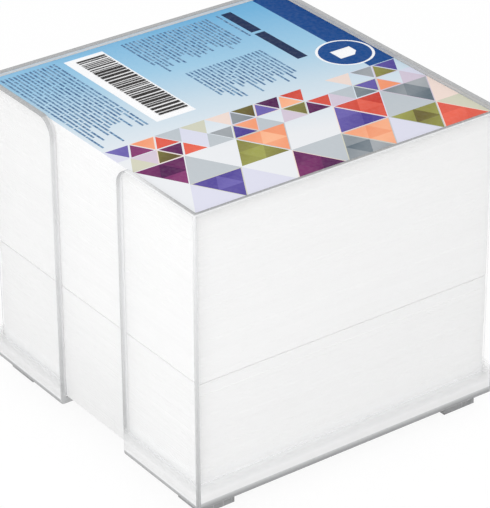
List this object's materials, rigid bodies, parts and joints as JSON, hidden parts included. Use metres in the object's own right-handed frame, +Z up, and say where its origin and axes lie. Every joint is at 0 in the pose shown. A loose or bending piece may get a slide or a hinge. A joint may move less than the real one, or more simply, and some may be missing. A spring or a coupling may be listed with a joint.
{
  "type": "memo cube",
  "caption": "Cube of loose square note sheets in a clear moulded holder with a finger slot down the front wall, under one printed cover card.",
  "frame": {"origin": "centre of the holder's plan, on the plane under the four feet", "axes": "+Z up, out of the holder's open top; -Y out of the wall with the finger slot; +X to the right as seen from that side"},
  "size_m": [0.094, 0.094, 0.0862],
  "materials": {
    "clear_plastic": "clear, glossy",
    "sheets_lower": "matt, cut edges",
    "sheets_upper": "matt, cut edges",
    "card": "coated, satin",
    "ink_sky": "printed, satin",
    "ink_navy": "printed, satin",
    "ink_vermilion": "printed, satin",
    "ink_orange": "printed, satin",
    "ink_plum": "printed, satin",
    "ink_violet": "printed, satin",
    "ink_olive": "printed, satin",
    "ink_slate": "printed, satin"
  },
  "bodies": {
    "root": {"holder": "clear_plastic", "paper_lower": "sheets_lower", "paper_upper": "sheets_upper", "cover_card": "card", "print_sky": "ink_sky", "print_navy": "ink_navy", "print_vermilion": "ink_vermilion", "print_orange": "ink_orange", "print_plum": "ink_plum", "print_violet": "ink_violet", "print_olive": "ink_olive", "print_slate": "ink_slate"}
  },
  "joints": []
}
